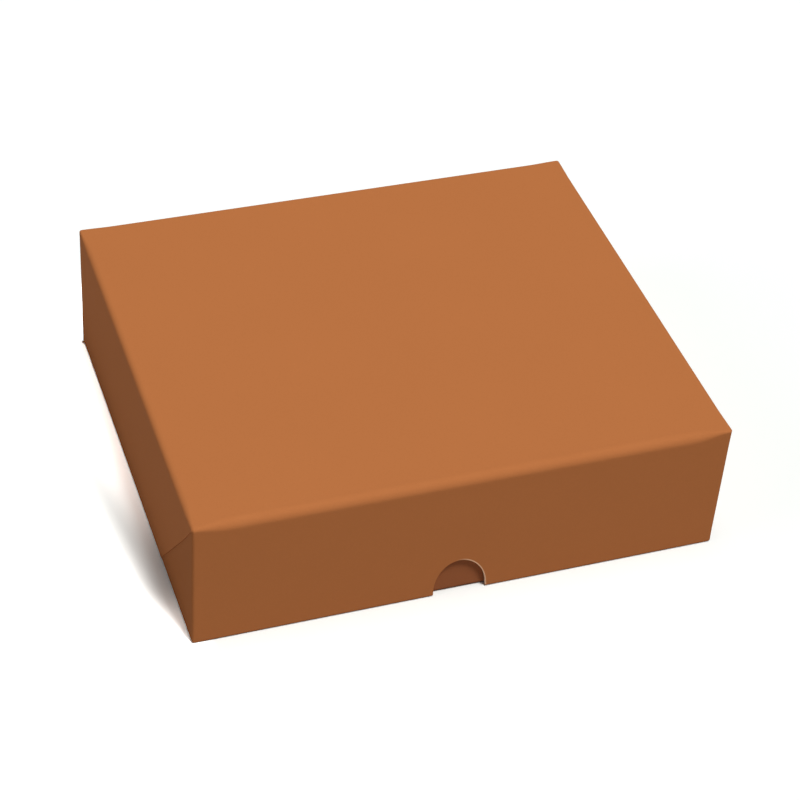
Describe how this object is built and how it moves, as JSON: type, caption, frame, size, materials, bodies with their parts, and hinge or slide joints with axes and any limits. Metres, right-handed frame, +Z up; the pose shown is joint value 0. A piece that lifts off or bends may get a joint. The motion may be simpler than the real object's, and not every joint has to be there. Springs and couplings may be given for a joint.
{
  "type": "lidded rectangular board box",
  "caption": "Rectangular paper-wrapped board box: a tray with a full-depth lift-off lid that has arched thumb notches in its long sides.",
  "frame": {"origin": "on the ground under the middle of the closed box", "axes": "+X to the right along the front, +Y towards the back, +Z up along the lid's lift"},
  "size_m": [0.22, 0.19, 0.061],
  "materials": {
    "wrap": "matte",
    "board": "matte",
    "lining": "matte",
    "stay": "matte"
  },
  "bodies": {
    "tray": {"tray_board": "board", "tray_wrap": "wrap", "tray_base_sheet": "wrap", "tray_liner": "lining", "tray_stay_front_left": "stay", "tray_stay_front_right": "stay", "tray_stay_back_left": "stay", "tray_stay_back_right": "stay"},
    "lid": {"lid_board": "board", "lid_wrap": "wrap", "lid_liner": "lining", "lid_stay_front_left": "stay", "lid_stay_front_right": "stay", "lid_stay_back_left": "stay", "lid_stay_back_right": "stay"}
  },
  "joints": [
    {"name": "lid_lift", "type": "slide", "parent": "tray", "child": "lid", "axis": [0, 0, 1], "range_m": [0, 0.09]}
  ]
}
